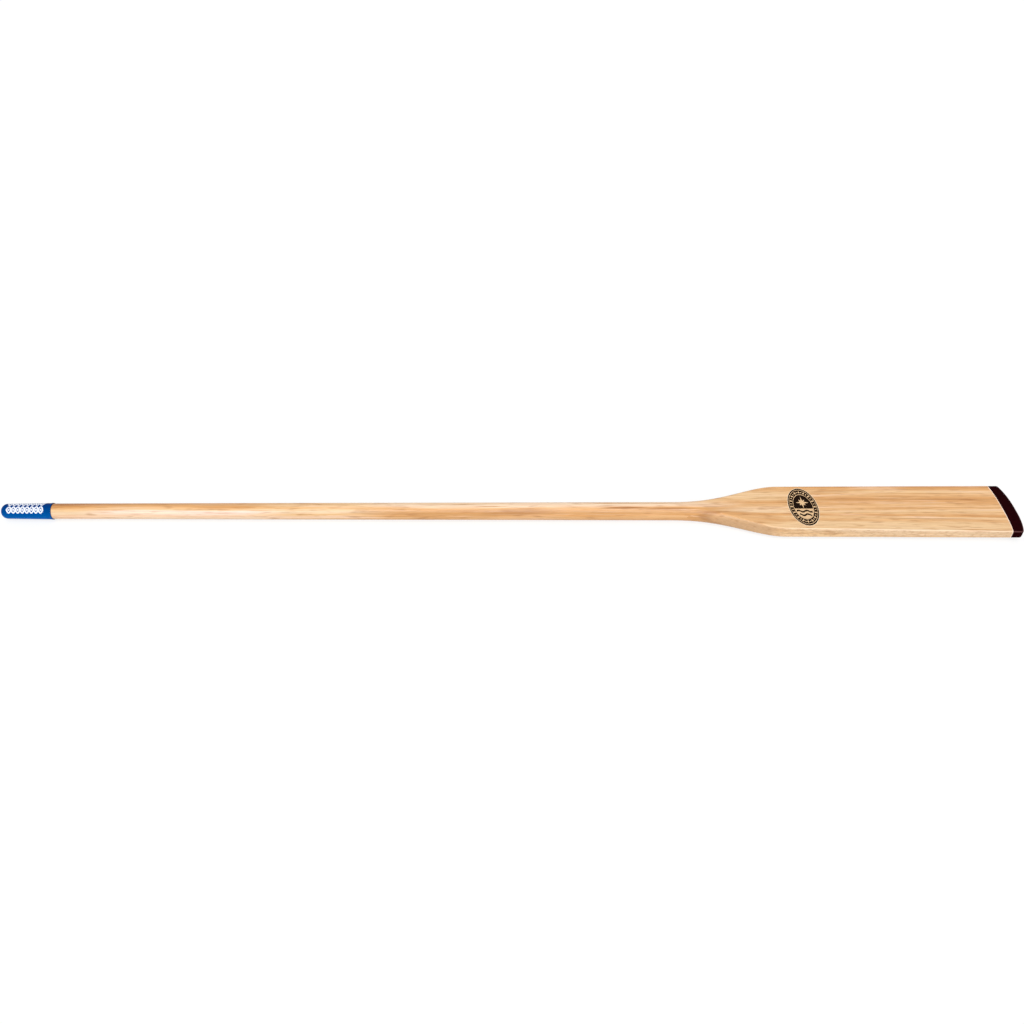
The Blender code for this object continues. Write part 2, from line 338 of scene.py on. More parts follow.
def make_piece(name, skins, finish, node=None):
    """One object from closed skins, faces outwards, riding on the frame and standing for its node."""
    points, faces = [], []
    for skin_points, skin_faces in skins:
        for corners in skin_faces:
            faces += (corners + len(points)).tolist()
        points += skin_points.tolist()
    mesh = bpy.data.meshes.new(name)
    mesh.from_pydata(points, [], faces)
    shell = bmesh.new()
    shell.from_mesh(mesh)
    bmesh.ops.recalc_face_normals(shell, faces=shell.faces)
    shell.to_mesh(mesh)
    shell.free()
    mesh.shade_smooth()
    mesh.set_sharp_from_angle(angle=SHARP_ANGLE)
    mesh.materials.append(finish)
    piece = bpy.data.objects.new(name, mesh)
    bpy.context.collection.objects.link(piece)
    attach(piece, "root")
    if node:
        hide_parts(node)
    print(name, "has", len(faces), "faces")


# %% [markdown]
# ## Helpers for finishes
#
# Colours are written as they look on a screen, in sRGB hex, and Blender mixes light in linear
# numbers, so one function converts them. A node's inputs are each set to a value or linked to another
# node's output, so adding a node gives back its output, ready to be an input of the next one.

# %% Colour and node helpers
def linear(colour):
    """Linear RGBA of an sRGB hex colour: a short straight toe, then a 2.4 power curve."""
    srgb = np.array([int(colour[i:i + 2], 16) for i in (1, 3, 5)]) / 255
    light = np.where(srgb <= 0.04045, srgb / 12.92, ((srgb + 0.055) / 1.055) ** 2.4)
    return (*light, 1.0)


def set_inputs(node, inputs):
    """Link each input that is given a socket, and set each other one to its value."""
    for key, value in inputs.items():
        if isinstance(value, bpy.types.NodeSocket):
            node.id_data.links.new(value, node.inputs[key])
        else:
            node.inputs[key].default_value = value


def add_node(material, kind, inputs=None, output=0, **settings):
    """Add a node with its inputs and its own settings, and return one of its outputs."""
    made = material.node_tree.nodes.new(kind)
    for name, value in settings.items():
        setattr(made, name, value)
    set_inputs(made, inputs or {})
    return made.outputs[output]


def new_finish(name):
    """A material with a Principled shader, and that shader."""
    made = bpy.data.materials.new(name)
    made.use_nodes = True
    return made, made.node_tree.nodes["Principled BSDF"]


def set_ramp(tone, stops, blend="EASE"):
    """Give the ramp that a tone comes from its stops, (place from 0 to 1, colour), first to last."""
    ramp = tone.node.color_ramp
    ramp.interpolation = blend
    elements = ramp.elements
    for element, (place, colour) in zip((elements[0], elements[1]), (stops[0], stops[-1])):
        element.position = place
        element.color = linear(colour)
    for place, colour in stops[1:-1]:
        elements.new(place).color = linear(colour)


# %% [markdown]
# ## Varnished pine
#
# The boards are pine: pale early wood with amber late-wood lines, planed and then varnished clear.
# A photograph of wood would carry its own light and couldn't follow the form, so the grain is a solid
# pattern, a function of the place in the board. Face, side and arris then cut through the same layers,
# as in a real plank. What the eye gets is, from large to small: cream and amber bands as long as the
# arm, the lines of the growth rings, streaks that waver and fade out, fibres, and short dark flecks.
#
# Two heights steer it, both in millimetres across the board. The broad bands follow one, measured
# towards the side where their tone changes most. The rings follow the other, measured square to the
# tree's layers. The boards are flat-sawn, so the layers lie nearly level: rings some 3 mm apart draw
# lines about 10 mm apart on the faces, and fine close lines on the sides.

# %% Palette of pine, from pale early wood to dark late wood, and the tan of its cut end grain
PEARL = "#FCE2D2"
CHALK = "#FCE2C4"
CREAM = "#F8D2B0"
SAND = "#EACDA8"
WHEAT = "#ECC797"
STRAW = "#EEC694"
HONEY = "#E8B780"
GOLD = "#DEA569"
BRONZE = "#D09C64"
AMBER = "#CB9055"
UMBER = "#A96F3B"
CUT_TAN = "#C9A27A"


# %% Noise drawn out along the grain
def grain_noise(material, place, length, width, detail, roughness=0.5, seed=0.0):
    """Noise from 0 to 1 whose patches have a length along the board and a width across it.

    The place is divided by those sizes, and the seed picks another part of the endless noise.
    """
    stretched = add_node(
        material, "ShaderNodeMapping",
        {"Vector": place, "Location": (seed, 0.0, 0.0), "Scale": (1 / length, 1 / width, 1 / width)})
    return add_node(
        material, "ShaderNodeTexNoise",
        {"Vector": stretched, "Scale": 1.0, "Detail": detail, "Roughness": roughness})


# %% Heights across a board
TONE_WANDER_MM = 11.0
RING_WANDER_MM = 7.0
WANDER_LENGTH_MM = 300
WANDER_WIDTH_MM = 50


def height_across(material, place_mm, across, wander_mm, seed):
    """Height in mm: the place's share along a (Y, Z) direction, plus a slow wander by noise.

    The wander is the noise less its mean of a half, times its size.
    """
    level = add_node(
        material, "ShaderNodeVectorMath", {0: place_mm, 1: (0.0, across[0], across[1])},
        operation="DOT_PRODUCT", output="Value")
    noise = grain_noise(material, place_mm, WANDER_LENGTH_MM, WANDER_WIDTH_MM, detail=3.0, seed=seed)
    centred = add_node(material, "ShaderNodeMath", {0: noise, 1: 0.5}, operation="SUBTRACT")
    return add_node(
        material, "ShaderNodeMath", {0: centred, 1: wander_mm, 2: level}, operation="MULTIPLY_ADD")


# %% Broad tones
ZONE_FADE_MM = 130


def broad_tones(material, station, height, zones):
    """Colour from a ramp over the height in each zone, and zones that fade into each other.

    A zone is (station where it starts, ramp stops), and a stop is (height in mm, colour).
    """
    colour = None
    for start, stops in zones:
        low, high = stops[0][0], stops[-1][0]
        share = add_node(
            material, "ShaderNodeMapRange", {"Value": height, "From Min": low, "From Max": high})
        zone_colour = add_node(material, "ShaderNodeValToRGB", {"Fac": share})
        set_ramp(zone_colour, [((level - low) / (high - low), tone) for level, tone in stops])
        if colour is None:
            colour = zone_colour
            continue
        entered = add_node(
            material, "ShaderNodeMapRange",
            {"Value": station, "From Min": start - ZONE_FADE_MM / 2, "From Max": start + ZONE_FADE_MM / 2},
            interpolation_type="SMOOTHSTEP")
        colour = add_node(
            material, "ShaderNodeMix", {0: entered, 6: colour, 7: zone_colour},
            data_type="RGBA", output=2)
    return colour


# %% Rings and streaks
RING_SPACING_MM = 3.2
RING_PATCH_MM = 300
STREAK_LENGTH_MM = 200
STREAK_HEIGHT_MM = 3.2
LATE_WOOD = {"From Min": 0.30, "From Max": 0.95}
RING_STRENGTHS = {"From Min": 0.38, "From Max": 0.66, "To Min": 0.15, "To Max": 1.0}


def ring_lines(material, station, ring_height, seed):
    """Darkness of the late wood, 0 to 1: each ring darkens slowly and ends sharply.

    It is the part of a ring passed so far, times a patchy strength that differs from ring to ring.
    """
    rings = add_node(
        material, "ShaderNodeMath", {0: ring_height, 1: RING_SPACING_MM}, operation="DIVIDE")
    passed = add_node(material, "ShaderNodeMath", {0: rings}, operation="FRACT")
    late = add_node(
        material, "ShaderNodeMapRange", {"Value": passed, **LATE_WOOD}, interpolation_type="SMOOTHSTEP")
    length = add_node(material, "ShaderNodeMath", {0: station, 1: RING_PATCH_MM}, operation="DIVIDE")
    patch_place = add_node(material, "ShaderNodeCombineXYZ", {"X": length, "Y": rings, "Z": seed})
    patch = add_node(
        material, "ShaderNodeTexNoise", {"Vector": patch_place, "Scale": 1.0, "Detail": 2.0})
    strength = add_node(material, "ShaderNodeMapRange", {"Value": patch, **RING_STRENGTHS})
    return add_node(material, "ShaderNodeMath", {0: late, 1: strength}, operation="MULTIPLY")


def streaks(material, station, ring_height, seed):
    """Noise from 0 to 1, drawn out along the board and thin across its layers."""
    length = add_node(material, "ShaderNodeMath", {0: station, 1: STREAK_LENGTH_MM}, operation="DIVIDE")
    layer = add_node(
        material, "ShaderNodeMath", {0: ring_height, 1: STREAK_HEIGHT_MM}, operation="DIVIDE")
    streak_place = add_node(material, "ShaderNodeCombineXYZ", {"X": length, "Y": layer, "Z": seed})
    return add_node(
        material, "ShaderNodeTexNoise",
        {"Vector": streak_place, "Scale": 1.0, "Detail": 4.0, "Roughness": 0.62})


# %% Single marks
MARK_EDGE = 1.0
MARK_CORE = 0.2


def single_marks(material, station, height, marks):
    """Strength of single streaks: each is full in its middle and fades to its oval's edge.

    A mark is (station, height, half length, half thickness, strength), the first four in mm.
    """
    spot_place = add_node(material, "ShaderNodeCombineXYZ", {"X": station, "Y": height})
    strongest = None
    for mark_station, level, half_length, half_thickness, strength in marks:
        away = add_node(
            material, "ShaderNodeVectorMath", {0: spot_place, 1: (mark_station, level, 0.0)},
            operation="SUBTRACT")
        scaled = add_node(
            material, "ShaderNodeVectorMath", {0: away, 1: (1 / half_length, 1 / half_thickness, 0.0)},
            operation="MULTIPLY")
        distance = add_node(
            material, "ShaderNodeVectorMath", {0: scaled}, operation="LENGTH", output="Value")
        spot = add_node(
            material, "ShaderNodeMapRange",
            {"Value": distance, "From Min": MARK_EDGE, "From Max": MARK_CORE, "To Max": strength},
            interpolation_type="SMOOTHSTEP")
        strongest = spot if strongest is None else add_node(
            material, "ShaderNodeMath", {0: strongest, 1: spot}, operation="MAXIMUM")
    return strongest


# %% Where the surface is sawn across the layers, and a painted highlight on its rounded edge
PORE_LENGTH = 9.1 * MM
PORE_WIDTH = 3 * MM
PORES = {"From Min": 0.48, "From Max": 0.66, "To Max": 0.65}
UPRIGHT_SIDE = {"From Min": 0.6, "From Max": 0.9}
WIDENED_THROAT_MM = {"From Min": 1460.0, "From Max": 1560.0}
END_GRAIN = {"From Min": 0.10, "From Max": 0.27, "To Max": 0.75}
EDGE_CURVE = {"From Min": 0.2, "From Max": 0.5}
ARRIS_HIGHLIGHT_FROM_MM = {"From Min": 1590.0, "From Max": 1680.0, "To Max": 0.6}


def cut_across(material):
    """Share of end grain in the surface, from how far its normal leans along the board.

    The throat's sides cut across the fibres, which drink varnish there and turn darker and greyer.
    """
    normal = add_node(material, "ShaderNodeNewGeometry", output="Normal")
    along = add_node(material, "ShaderNodeSeparateXYZ", {0: normal}, output="X")
    lean = add_node(material, "ShaderNodeMath", {0: along}, operation="ABSOLUTE")
    return add_node(
        material, "ShaderNodeMapRange", {"Value": lean, **END_GRAIN}, interpolation_type="SMOOTHSTEP")


def side_pores(material, place, station):
    """Share of short dark pores on the boards' narrow sides: spots of noise times the normal's Y.

    A flat-sawn board shows its cut rays there. They are a third of this size in real pine, which
    would not show from where the oar is seen. They fade in where the throat widens.
    """
    spots = grain_noise(material, place, PORE_LENGTH, PORE_WIDTH, detail=2.0, roughness=0.6)
    share = add_node(material, "ShaderNodeMapRange", {"Value": spots, **PORES})
    normal = add_node(material, "ShaderNodeNewGeometry", output="Normal")
    sideways = add_node(material, "ShaderNodeSeparateXYZ", {0: normal}, output="Y")
    facing = add_node(material, "ShaderNodeMath", {0: sideways}, operation="ABSOLUTE")
    side = add_node(material, "ShaderNodeMapRange", {"Value": facing, **UPRIGHT_SIDE})
    widened = add_node(material, "ShaderNodeMapRange", {"Value": station, **WIDENED_THROAT_MM})
    side = add_node(material, "ShaderNodeMath", {0: side, 1: widened}, operation="MULTIPLY")
    return add_node(material, "ShaderNodeMath", {0: share, 1: side}, operation="MULTIPLY")


def rounded_edge(material):
    """Share of rounded edge in the surface, from the normal's level part times its upright part.

    That product is half the sine of twice the tilt: nothing on a flat, a side or an end, and
    greatest, a half, where the surface leans at 45 degrees.
    """
    normal = add_node(material, "ShaderNodeNewGeometry", output="Normal")
    level = add_node(
        material, "ShaderNodeVectorMath", {0: normal, 1: (1.0, 1.0, 0.0)}, operation="MULTIPLY")
    level_part = add_node(
        material, "ShaderNodeVectorMath", {0: level}, operation="LENGTH", output="Value")
    upright_part = add_node(material, "ShaderNodeSeparateXYZ", {0: normal}, output="Z")
    product = add_node(
        material, "ShaderNodeMath", {0: level_part, 1: upright_part}, operation="MULTIPLY")
    half_sine = add_node(material, "ShaderNodeMath", {0: product}, operation="ABSOLUTE")
    return add_node(
        material, "ShaderNodeMapRange", {"Value": half_sine, **EDGE_CURVE},
        interpolation_type="SMOOTHSTEP")


def painted_arris_highlight(material, station):
    """Share of painted highlight in pale wood: the rounded edge, from the blade's shoulder on."""
    blade = add_node(
        material, "ShaderNodeMapRange", {"Value": station, **ARRIS_HIGHLIGHT_FROM_MM},
        interpolation_type="SMOOTHSTEP")
    return add_node(
        material, "ShaderNodeMath", {0: rounded_edge(material), 1: blade}, operation="MULTIPLY")


# %% The whole finish of a board
RING_DARKNESS = 0.36
RING_SEED_STEP = 7
DARK_STREAKS = {"From Min": 0.50, "From Max": 0.30, "To Max": 0.75}
PALE_STREAKS = {"From Min": 0.50, "From Max": 0.70, "To Max": 0.6}
FLECK_LENGTH = 38.5 * MM
FLECK_WIDTH = 3.85 * MM
FLECKS = {"From Min": 0.56, "From Max": 0.76, "To Max": 0.55}
FIBRE_LENGTH = 70 * MM
FIBRE_WIDTH = 2.38 * MM
FIBRE_TONE = {"From Min": 0.3, "From Max": 0.7, "To Min": 0.88, "To Max": 1.10}
FIBRE_ROUGHNESS = {"From Min": 0.3, "From Max": 0.7, "To Min": 0.46, "To Max": 0.58}
FIBRE_RELIEF = 0.6
RELIEF_DEPTH = 0.08 * MM
RELIEF_STRENGTH = 0.25
VARNISH = {"Specular IOR Level": 0.2, "Coat Weight": 0.3, "Coat Roughness": 0.2, "Coat IOR": 1.5}


def varnished_pine(
        name, zones, tone_across, ring_across, dark_marks, pale_marks, pale_wood, seed, sawn_wing=False):
    """Pine with broad tones, streaks, rings, marks, fibres and flecks, under a clear satin varnish.

    The two directions across, each a (Y, Z), are the ones that tones and rings are measured along.
    """
    material, shader = new_finish(name)
    place = add_node(material, "ShaderNodeTexCoord", output="Object")
    place_mm = add_node(
        material, "ShaderNodeVectorMath",
        {0: place, 1: (1 / MM, 1 / MM, 1 / MM), 2: (-cad_low.x / MM, 0.0, -AXIS_HEIGHT / MM)},
        operation="MULTIPLY_ADD")
    station = add_node(material, "ShaderNodeSeparateXYZ", {0: place_mm}, output="X")
    tone_height = height_across(material, place_mm, tone_across, TONE_WANDER_MM, seed)
    ring_height = height_across(
        material, place_mm, ring_across, RING_WANDER_MM, seed + RING_SEED_STEP)

    # From the broad tones through each finer layer, always as a mix with one darker or paler wood
    colour = broad_tones(material, station, tone_height, zones)
    streak = streaks(material, station, ring_height, seed)
    dark_share, pale_share = [
        add_node(
            material, "ShaderNodeMapRange", {"Value": streak, **span},
            interpolation_type="SMOOTHSTEP")
        for span in (DARK_STREAKS, PALE_STREAKS)]
    rings = ring_lines(material, station, ring_height, seed)
    ring_share = add_node(
        material, "ShaderNodeMath", {0: rings, 1: RING_DARKNESS}, operation="MULTIPLY")
    layers = [
        (dark_share, AMBER), (pale_share, CREAM), (ring_share, AMBER),
        (single_marks(material, station, tone_height, pale_marks), pale_wood),
        (single_marks(material, station, tone_height, dark_marks), UMBER)]
    if sawn_wing:
        # The sawn wings add pores, the end-grain tan, and a painted highlight in chalk-pale wood on the
        # rounded arris
        layers += [
            (side_pores(material, place, station), CUT_TAN), (cut_across(material), CUT_TAN),
            (painted_arris_highlight(material, station), CHALK)]

    # Flecks are short resin streaks, a few centimetres long. Real ones are a millimetre wide, which
    # wouldn't show from where the oar is seen, so these are wider
    fleck_noise = grain_noise(material, place, FLECK_LENGTH, FLECK_WIDTH, detail=1.0, seed=seed)
    fleck_share = add_node(material, "ShaderNodeMapRange", {"Value": fleck_noise, **FLECKS})
    layers.append((fleck_share, UMBER))
    for share, wood in layers:
        colour = add_node(
            material, "ShaderNodeMix", {0: share, 6: colour, 7: linear(wood)},
            data_type="RGBA", output=2)

    # Fibres make every tone shimmer a little. One is thinner than a hair, too fine to show, so
    # what is drawn is bundles of them some two millimetres wide, with finer detail inside
    fibres = grain_noise(material, place, FIBRE_LENGTH, FIBRE_WIDTH, detail=5.0, roughness=0.75)
    fibre_tone = add_node(material, "ShaderNodeMapRange", {"Value": fibres, **FIBRE_TONE})
    colour = add_node(material, "ShaderNodeVectorMath", {0: colour, 3: fibre_tone}, operation="SCALE")

    # Planed fibres lie a little rough under the varnish, and the varnish itself is smoother
    roughness = add_node(material, "ShaderNodeMapRange", {"Value": fibres, **FIBRE_ROUGHNESS})
    relief = add_node(
        material, "ShaderNodeMath", {0: fibres, 1: FIBRE_RELIEF, 2: ring_share},
        operation="MULTIPLY_ADD")
    bump = add_node(
        material, "ShaderNodeBump",
        {"Height": relief, "Strength": RELIEF_STRENGTH, "Distance": RELIEF_DEPTH})
    set_inputs(shader, {"Base Color": colour, "Roughness": roughness, "Normal": bump, **VARNISH})
    return material


# %% The middle board's finish
# Its tones are measured towards its upper back: amber there by the grip, and at the lower front
# further on
UPPER_BACK = (0.669, 0.743)

loom_zones = [
    (0, [(-19, CREAM), (-9, CREAM), (-6, SAND), (-2, SAND), (1, WHEAT), (5, HONEY), (7, GOLD), (9, AMBER),
         (13, UMBER), (19, UMBER)]),
    (215, [(-19, CREAM), (-14, CHALK), (-9, CREAM), (-3, PEARL), (1, PEARL), (5, STRAW), (8, HONEY),
           (12, GOLD), (15, BRONZE), (19, GOLD)]),
    (560, [(-19, WHEAT), (-13, CREAM), (-8, STRAW), (-2, SAND), (3, WHEAT), (7, HONEY), (11, STRAW),
           (19, STRAW)]),
    (780, [(-19, GOLD), (-13, HONEY), (-9, GOLD), (-6, BRONZE), (0, BRONZE), (4, GOLD), (7, HONEY),
           (10, CREAM), (14, CHALK), (19, STRAW)]),
    (1520, [(-8, HONEY), (-1, STRAW), (4, HONEY), (9, HONEY), (14, HONEY), (18, GOLD), (22, HONEY)])]
loom_dark_marks = [
    (222, -1, 28, 1.0, 0.35), (790, -5, 50, 1.6, 0.4), (860, -4, 60, 1.5, 0.4), (1010, 2, 130, 3.5, 0.35),
    (1090, -1, 115, 9.5, 0.55), (1310, 6.6, 75, 3.4, 0.95), (1400, 4.1, 80, 3.4, 0.8),
    (1492, -5, 50, 4.5, 0.65)]
# The pale mark at station 1100, nine millimetres up, is a painted highlight: the shine along the loom's
# upper third, as a pale streak on top of the overhead lamp's real shine
loom_pale_marks_and_highlight = [(330, -2, 120, 3.5, 0.8), (1100, 9, 120, 2.2, 0.9), (1590, 2, 110, 10, 0.35)]
loom_pine = varnished_pine(
    "loom_varnished_pine", loom_zones, tone_across=UPPER_BACK, ring_across=(0.5, 0.866),
    dark_marks=loom_dark_marks, pale_marks=loom_pale_marks_and_highlight, pale_wood=CHALK, seed=0.0)

# %% The side boards' finishes
# Their tones are measured outwards across the blade
far_zones = [
    (0, [(16, HONEY), (24, STRAW), (42, STRAW), (60, HONEY), (76, HONEY)]),
    (1680, [(16, HONEY), (22, GOLD), (27, BRONZE), (33, GOLD), (40, HONEY), (46, HONEY), (52, STRAW),
            (58, HONEY), (64, GOLD), (70, AMBER), (76, AMBER)])]
far_dark_marks = [(1990, 27, 115, 3.0, 0.45), (1790, 31, 70, 2.0, 0.3), (1930, 60, 80, 2.4, 0.3)]
far_pale_marks = [(1590, 38, 110, 18, 0.4), (1760, 50, 130, 3.0, 0.5), (1900, 34, 110, 2.0, 0.4)]
far_pine = varnished_pine(
    "far_wing_varnished_pine", far_zones, tone_across=(1.0, 0.25), ring_across=(0.32, 0.947),
    dark_marks=far_dark_marks, pale_marks=far_pale_marks, pale_wood=WHEAT, seed=3.1, sawn_wing=True)
near_zones = [
    (0, [(16, GOLD), (24, BRONZE), (30, GOLD), (36, HONEY), (43, HONEY), (53, HONEY), (70, STRAW),
         (78, STRAW)]),
    (1600, [(16, HONEY), (22, HONEY), (28, GOLD), (33, STRAW), (42, HONEY), (48, STRAW), (58, STRAW),
            (66, WHEAT), (71, SAND), (78, SAND)])]
near_dark_marks = [(1484, 26, 46, 4.5, 0.6), (1960, 37, 125, 3.0, 0.55), (1850, 28, 60, 2.0, 0.3)]
near_pale_marks = [(1880, 55, 420, 13, 0.65)]
near_pine = varnished_pine(
    "near_wing_varnished_pine", near_zones, tone_across=(-1.0, 0.25), ring_across=(-0.32, 0.947),
    dark_marks=near_dark_marks, pale_marks=near_pale_marks, pale_wood=WHEAT, seed=7.7, sawn_wing=True)
print("Pine finishes:", loom_pine.name, far_pine.name, near_pine.name)

# %% [markdown]
# ## The middle board
#
# One board runs the whole length: the turned handle inside the grip, the round loom, the throat, the
# middle of the blade and the tongue inside the guard. Its rows follow in that order, and where the
# section is wider than the saw's distance its sides are the flat glue faces.

# %% The loom
HANDLE_ROWS = 14
LOOM_ROWS = 48
THROAT_ROWS = 110
BLADE_ROWS = 56
MIDDLE_TOP_POINTS = 2 * MIDDLE_POINTS - 1


def dome(inset, rows):
    """Stations and radii of the grip's domed end moved inwards: a full quarter ellipse, cosine and
    sine of the turn raised to two over the fullness."""
    turn = np.linspace(0.0, np.pi / 2, rows + 1)[1:]
    power = 2 / GRIP_DOME_FULLNESS
    stations = GRIP_DOME_DEPTH - (GRIP_DOME_DEPTH - inset) * np.cos(turn) ** power
    radii = (GRIP_END_RADIUS - inset) * np.sin(turn) ** power
    return stations, radii


handle_inset = GRIP_WALL + FIT_GAP
loom_start = GRIP_LENGTH + FIT_GAP
handle_stations, handle_radii = dome(handle_inset, HANDLE_ROWS)
handle_stations = np.append(handle_stations, loom_start)
handle_radii = np.append(handle_radii, GRIP_MOUTH_RADIUS - handle_inset)
handle = round_rows(handle_stations, handle_radii, MIDDLE_TOP_POINTS)

loom_stations = np.linspace(loom_start, THROAT_START, LOOM_ROWS)[:-1]
throat_stations = np.linspace(THROAT_START, THROAT_END, THROAT_ROWS)
blade_stations = np.linspace(THROAT_END, GUARD_STATION, BLADE_ROWS + 1)[1:]
middle_stations = np.concatenate([loom_stations, throat_stations, blade_stations])
middle = both_sides(quarter_rows(
    middle_stations, blade_bow(middle_stations), saw_to_middle(SAW_PLANE)))
tongue_stations = np.array([GUARD_STATION, GUARD_STATION + TONGUE_LENGTH])
middle_tongue = both_sides(quarter_rows(
    tongue_stations, GUARD_INNER_BOW, saw_to_middle(SAW_PLANE), tongue(0.0)))
middle_rows = close_ring(np.concatenate([handle, middle, middle_tongue]))
make_piece(
    "loom_board", [skin(middle_rows, start_pole=axis_point(handle_inset))], loom_pine, "loom")

# %% [markdown]
# ## The side boards
#
# Two boards are glued to the loom's flat sides to make up the blade's width, and shaped with it, so
# they run out to a feather edge along the throat. They start where the form first passes the saw.

# %% The two wings
FEATHER = 0.04 * MM
WING_ROWS = 170
STATIONS_TRIED = 4000

fine_stations = np.linspace(THROAT_START, THROAT_END, STATIONS_TRIED)
feather_station = np.interp(SAW_PLANE + FEATHER, wood_section(fine_stations)[0], fine_stations)
wing_stations = np.linspace(feather_station, GUARD_STATION, WING_ROWS)
wing_edge = side_to_saw(SAW_PLANE + GLUE_GAP)
wing_top = quarter_rows(wing_stations, blade_bow(wing_stations), wing_edge)
wing_tongue = quarter_rows(tongue_stations, GUARD_INNER_BOW, wing_edge, tongue(0.0))
wing_rows = close_ring(np.concatenate([wing_top, wing_tongue]))
make_piece("far_wing", [skin(wing_rows)], far_pine, "blade_wing_left")
make_piece("near_wing", [skin(wing_rows * (1, -1, 1))], near_pine, "blade_wing_right")
print("The wings start at station", round(float(feather_station), 4))

# %% [markdown]
# ## Finishes without a grain
#
# Resin, vinyl and ink have no grain. Their colour varies a little in round patches, alike in every
# direction: resin settles, vinyl flows while it sets, and wood or film drinks ink unevenly. The
# mottle is solid too, so it crosses an edge without a seam.

# %% Mottled finishes
def mottle(material, size, detail, unevenness=0.5):
    """Noise from 0 to 1 with patches of a size, the same in every direction."""
    place = add_node(material, "ShaderNodeTexCoord", output="Object")
    return add_node(
        material, "ShaderNodeTexNoise",
        {"Vector": place, "Scale": 1 / size, "Detail": detail, "Roughness": unevenness})


def mottled_finish(name, size, stops, blend, roughness, gloss, detail=2.0, unevenness=0.5):
    """A finish whose colour runs over a ramp by a mottle. Its gloss is the specular level."""
    material, shader = new_finish(name)
    colour = add_node(material, "ShaderNodeValToRGB", {"Fac": mottle(material, size, detail, unevenness)})
    set_ramp(colour, stops, blend)
    set_inputs(shader, {"Base Color": colour, "Roughness": roughness, "Specular IOR Level": gloss})
    return material


# %% [markdown]
# ## The tip guard
#
# A dark resin is cast round the blade's end to stop it splitting on rocks. It lies flush with the
# wood and turns in to a rounded nose. Cast resin is smooth with a satin gloss, and nearly black with
# a little maroon that shows only where light reaches it.

# %% Finish of the guard
RESIN_MOTTLE = 6.25 * MM
RESIN_RIPPLE = 0.1 * MM
PAINTED_EDGE_HIGHLIGHT = "#5A3A3B"

guard_resin, guard_shader = new_finish("cast_maroon_resin")
guard_noise = mottle(guard_resin, RESIN_MOTTLE, detail=3.0, unevenness=0.6)
guard_tone = add_node(guard_resin, "ShaderNodeValToRGB", {"Fac": guard_noise})
set_ramp(guard_tone, [(0.35, "#1A0103"), (0.7, "#240205")])
# Painted highlight: the rounded edges are mixed towards a paler maroon, drawing the front lamp's shine
# along the arris
guard_colour = add_node(
    guard_resin, "ShaderNodeMix",
    {0: rounded_edge(guard_resin), 6: guard_tone, 7: linear(PAINTED_EDGE_HIGHLIGHT)},
    data_type="RGBA", output=2)
guard_bump = add_node(
    guard_resin, "ShaderNodeBump", {"Height": guard_noise, "Strength": 0.15, "Distance": RESIN_RIPPLE})
set_inputs(guard_shader, {
    "Base Color": guard_colour, "Roughness": 0.25, "Specular IOR Level": 0.005, "Normal": guard_bump})

# %% The guard
SLEEVE_ROWS = 12
NOSE_ROWS = 14


def nose(turn):
    """The guard's section as its nose turns in: a quarter ellipse in plan and another in side view."""
    def reshape(half_width, half_thickness, corner, square):
        drawn_in = 1 - np.cos(turn)[:, None]
        narrowed = half_width - GUARD_CORNER_RADIUS * drawn_in
        thinned = half_thickness - GUARD_EDGE_RADIUS * drawn_in
        return narrowed, thinned, np.minimum(corner, thinned), square
    return reshape


def guard_bow(stations):
    """The bow grows in a straight line from the guard's inner end to its outer end."""
    return sloping(stations, GUARD_STATION, OAR_LENGTH, GUARD_INNER_BOW, GUARD_OUTER_BOW)


guard_start = GUARD_STATION + FIT_GAP / 2
slot_end = GUARD_STATION + TONGUE_LENGTH + FIT_GAP
nose_start = OAR_LENGTH - GUARD_NOSE_DEPTH
whole_width = side_to_saw(0.0)
slot_rows = quarter_rows(
    np.array([slot_end, guard_start]), GUARD_INNER_BOW, whole_width, tongue(FIT_GAP))
body_stations = np.linspace(guard_start, nose_start, SLEEVE_ROWS)
body_rows = quarter_rows(body_stations, guard_bow(body_stations), whole_width)
nose_turn = np.linspace(0.0, np.pi / 2, NOSE_ROWS + 1)[1:]
nose_stations = nose_start + GUARD_NOSE_DEPTH * np.sin(nose_turn)
nose_rows = quarter_rows(nose_stations, guard_bow(nose_stations), whole_width, nose(nose_turn))
guard_rows = close_ring(both_sides(np.concatenate([slot_rows, body_rows, nose_rows])))
make_piece("cast_tip_guard", [skin(guard_rows)], guard_resin, "tip_guard")

# %% [markdown]
# ## The joint line
#
# Where wood and resin meet, a thin pale line shows on the wood, as a bead of clear epoxy leaves when
# it is sanded flush. It is a band a twentieth of a millimetre proud of the wood, made from the
# oar's own section, grown a little, so that it follows the bowed joint all round.

# %% Finish of the joint line
EPOXY_MOTTLE = 8 * MM

joint_epoxy = mottled_finish(
    "sanded_clear_epoxy", EPOXY_MOTTLE, [(0.3, "#FBD9C0"), (0.7, "#FFE9DA")], "EASE",
    roughness=0.4, gloss=0.3)

# %% The joint line
JOINT_LINE_WIDTH = 1.5 * MM
JOINT_LINE_PROUD = 0.05 * MM


def grown(amount):
    """The oar's section, larger all round."""
    def reshape(half_width, half_thickness, corner, square):
        return half_width + amount, half_thickness + amount, corner + amount, square
    return reshape


line_stations = GUARD_STATION - np.array([JOINT_LINE_WIDTH, 0.0])
line_outside = both_sides(quarter_rows(
    line_stations, GUARD_INNER_BOW, whole_width, grown(JOINT_LINE_PROUD)))
line_inside = both_sides(quarter_rows(
    line_stations[::-1], GUARD_INNER_BOW, whole_width, grown(-JOINT_LINE_PROUD)))
line_rows = close_ring(np.concatenate([line_outside, line_inside]))
make_piece("joint_line", [skin(line_rows, looped=True)], joint_epoxy)
